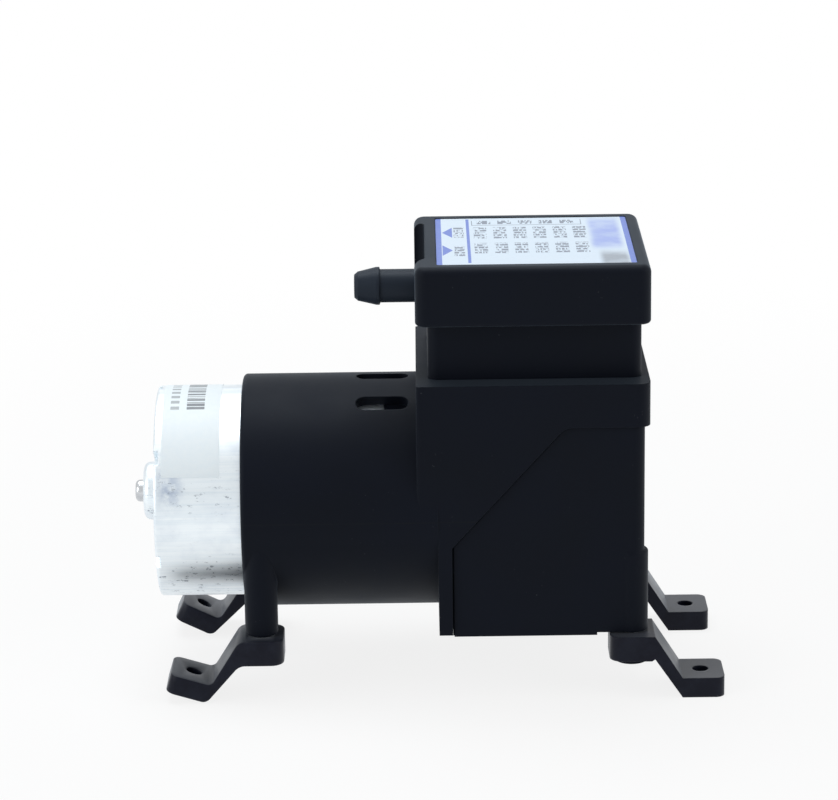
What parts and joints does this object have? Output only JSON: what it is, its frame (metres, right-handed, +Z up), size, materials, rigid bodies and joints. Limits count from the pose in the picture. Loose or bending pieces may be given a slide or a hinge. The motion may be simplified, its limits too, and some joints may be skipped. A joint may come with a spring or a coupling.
{
  "type": "diaphragm vacuum pump",
  "caption": "Compact diaphragm vacuum pump: a round motor in a black sleeve drives a crank under a square head with a hose barb, on rubber feet.",
  "frame": {"origin": "ground level, at the middle of the four foot holes", "axes": "+X along the motor shaft towards the pump head, +Z up, -Y is the front with the hose barb nearer to it"},
  "size_m": [0.1163, 0.0494, 0.0868],
  "materials": {
    "black_plastic": "fine moulded texture",
    "rod_plastic": "glass-filled moulding",
    "soft_rubber": "matt moulded rubber",
    "valve_rubber": "smooth moulded rubber",
    "zinc_steel": "zinc plated",
    "drawn_steel": "zinc plated, with drawing lines along the can",
    "ground_steel": "ground",
    "lamination": "stamped sheet edges",
    "ferrite": "sintered ferrite",
    "copper": "enamelled copper",
    "brass": "stamped",
    "carbon": "pressed carbon",
    "cast_zinc": "die cast",
    "label_film": "printed film, bare of words",
    "sintered": "porous"
  },
  "bodies": {
    "pump": {"main_housing": "black_plastic", "crankcase_cover": "black_plastic", "cover_screws": "zinc_steel", "head_body": "black_plastic", "inlet_valve": "valve_rubber", "outlet_valve": "valve_rubber", "head_gasket": "valve_rubber", "top_cap": "black_plastic", "hose_barb": "black_plastic", "exhaust_silencer": "sintered", "label_plate": "label_film", "head_screws": "zinc_steel", "diaphragm": "valve_rubber", "motor_can": "drawn_steel", "motor_magnets": "ferrite", "motor_end_bell": "black_plastic", "front_bearing": "ground_steel", "rear_bush": "brass", "carbon_brushes": "carbon", "brush_arms": "brass", "terminals": "brass", "motor_screws": "zinc_steel"},
    "rotor": {"motor_shaft": "ground_steel", "armature_core": "lamination", "armature_windings": "copper", "commutator": "copper", "eccentric": "cast_zinc", "set_screw": "zinc_steel", "bearing_clip": "zinc_steel", "crank_bearing_inner": "ground_steel"},
    "rod": {"connecting_rod": "rod_plastic", "diaphragm_clamp": "zinc_steel", "clamp_screw": "zinc_steel", "crank_bearing_outer": "ground_steel", "crank_bearing_balls": "ground_steel"},
    "foot_front_left": {"foot_front_left": "soft_rubber"},
    "foot_front_right": {"foot_front_right": "soft_rubber"},
    "foot_rear_left": {"foot_rear_left": "soft_rubber"},
    "foot_rear_right": {"foot_rear_right": "soft_rubber"}
  },
  "joints": [
    {"name": "rotor_spin", "type": "hinge", "parent": "pump", "child": "rotor", "pos_m": [0.0176, 0, 0.03625], "axis": [1, 0, 0], "continuous": true},
    {"name": "crank_pin", "type": "hinge", "parent": "rotor", "child": "rod", "pos_m": [0.0176, 0, 0.03425], "axis": [1, 0, 0], "continuous": true, "deforming": ["diaphragm"]},
    {"name": "foot_front_left_swivel", "type": "hinge", "parent": "pump", "child": "foot_front_left", "pos_m": [-0.03635, -0.01925, 0.0106], "axis": [0, 0, 1], "range_deg": [-30, 30]},
    {"name": "foot_front_right_swivel", "type": "hinge", "parent": "pump", "child": "foot_front_right", "pos_m": [0.03635, -0.01925, 0.0106], "axis": [0, 0, 1], "range_deg": [-30, 30]},
    {"name": "foot_rear_left_swivel", "type": "hinge", "parent": "pump", "child": "foot_rear_left", "pos_m": [-0.03635, 0.01925, 0.0106], "axis": [0, 0, 1], "range_deg": [-30, 30]},
    {"name": "foot_rear_right_swivel", "type": "hinge", "parent": "pump", "child": "foot_rear_right", "pos_m": [0.03635, 0.01925, 0.0106], "axis": [0, 0, 1], "range_deg": [-30, 30]}
  ],
  "couplings": [
    {"joint": "crank_pin", "follows": "rotor_spin", "ratio": -1}
  ]
}
